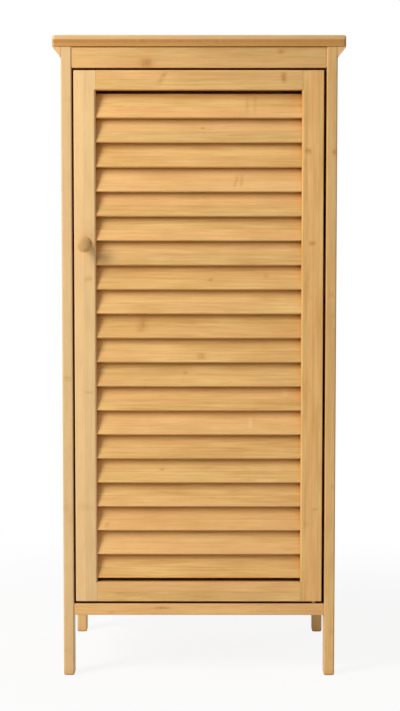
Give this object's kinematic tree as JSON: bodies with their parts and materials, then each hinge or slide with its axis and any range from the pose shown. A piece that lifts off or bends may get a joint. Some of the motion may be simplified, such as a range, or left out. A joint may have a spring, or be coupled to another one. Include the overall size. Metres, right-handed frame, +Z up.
{
  "type": "storage cabinet",
  "caption": "Narrow floor cabinet in laminated bamboo: a louvred door on pivot pins with a round knob, inner shelves and a magnet catch, on post legs.",
  "frame": {"origin": "on the floor, under the middle of the cabinet's overall box", "axes": "+Z up; the door faces -Y; +X to the right as seen from the front"},
  "size_m": [0.403, 0.314, 0.891],
  "materials": {
    "bamboo_board": "satin clear lacquer on laminated bamboo",
    "bamboo_frame": "satin clear lacquer on laminated bamboo",
    "bamboo_slat": "satin clear lacquer on laminated bamboo",
    "bamboo_panel": "satin clear lacquer on thin bamboo board",
    "bamboo_end_grain": "turned and lacquered, darker end grain",
    "zinc_plated_steel": "zinc plated",
    "brass_bush": "plain turned brass",
    "catch_plastic": "brown moulded plastic",
    "ferrite_magnet": "dull black ferrite"
  },
  "bodies": {
    "carcass": {"top_board": "bamboo_board", "side_moulding_left": "bamboo_frame", "side_moulding_right": "bamboo_frame", "post_front_left": "bamboo_frame", "post_front_right": "bamboo_frame", "post_rear_left": "bamboo_frame", "post_rear_right": "bamboo_frame", "side_rail_lower_left": "bamboo_board", "side_rail_lower_right": "bamboo_board", "side_rail_upper_left": "bamboo_board", "side_rail_upper_right": "bamboo_board", "front_apron": "bamboo_board", "front_bottom_rail": "bamboo_board", "back_top_rail": "bamboo_board", "back_bottom_rail": "bamboo_board", "side_panel_left": "bamboo_panel", "side_panel_right": "bamboo_panel", "back_panel": "bamboo_panel", "bottom_panel": "bamboo_panel", "shelf_lower": "bamboo_panel", "shelf_upper": "bamboo_panel", "shelf_lower_cleat_left": "bamboo_frame", "shelf_lower_cleat_right": "bamboo_frame", "shelf_upper_cleat_left": "bamboo_frame", "shelf_upper_cleat_right": "bamboo_frame", "hinge_bush_bottom": "brass_bush", "hinge_bush_top": "brass_bush", "catch_case": "catch_plastic", "catch_magnet": "ferrite_magnet"},
    "door": {"door_stile_left": "bamboo_frame", "door_stile_right": "bamboo_frame", "door_rail_top": "bamboo_frame", "door_rail_bottom": "bamboo_frame", "slat_01": "bamboo_slat", "slat_02": "bamboo_slat", "slat_03": "bamboo_slat", "slat_04": "bamboo_slat", "slat_05": "bamboo_slat", "slat_06": "bamboo_slat", "slat_07": "bamboo_slat", "slat_08": "bamboo_slat", "slat_09": "bamboo_slat", "slat_10": "bamboo_slat", "slat_11": "bamboo_slat", "slat_12": "bamboo_slat", "slat_13": "bamboo_slat", "slat_14": "bamboo_slat", "slat_15": "bamboo_slat", "slat_16": "bamboo_slat", "slat_17": "bamboo_slat", "slat_18": "bamboo_slat", "slat_19": "bamboo_slat", "slat_20": "bamboo_slat", "knob": "bamboo_end_grain", "knob_screw": "zinc_plated_steel", "hinge_pin_bottom": "zinc_plated_steel", "hinge_pin_top": "zinc_plated_steel", "strike_plate": "zinc_plated_steel"}
  },
  "joints": [
    {"name": "door_hinge", "type": "hinge", "parent": "carcass", "child": "door", "pos_m": [0.16056, -0.1242, 0.1054], "axis": [0, 0, 1], "range_deg": [0, 118]}
  ]
}
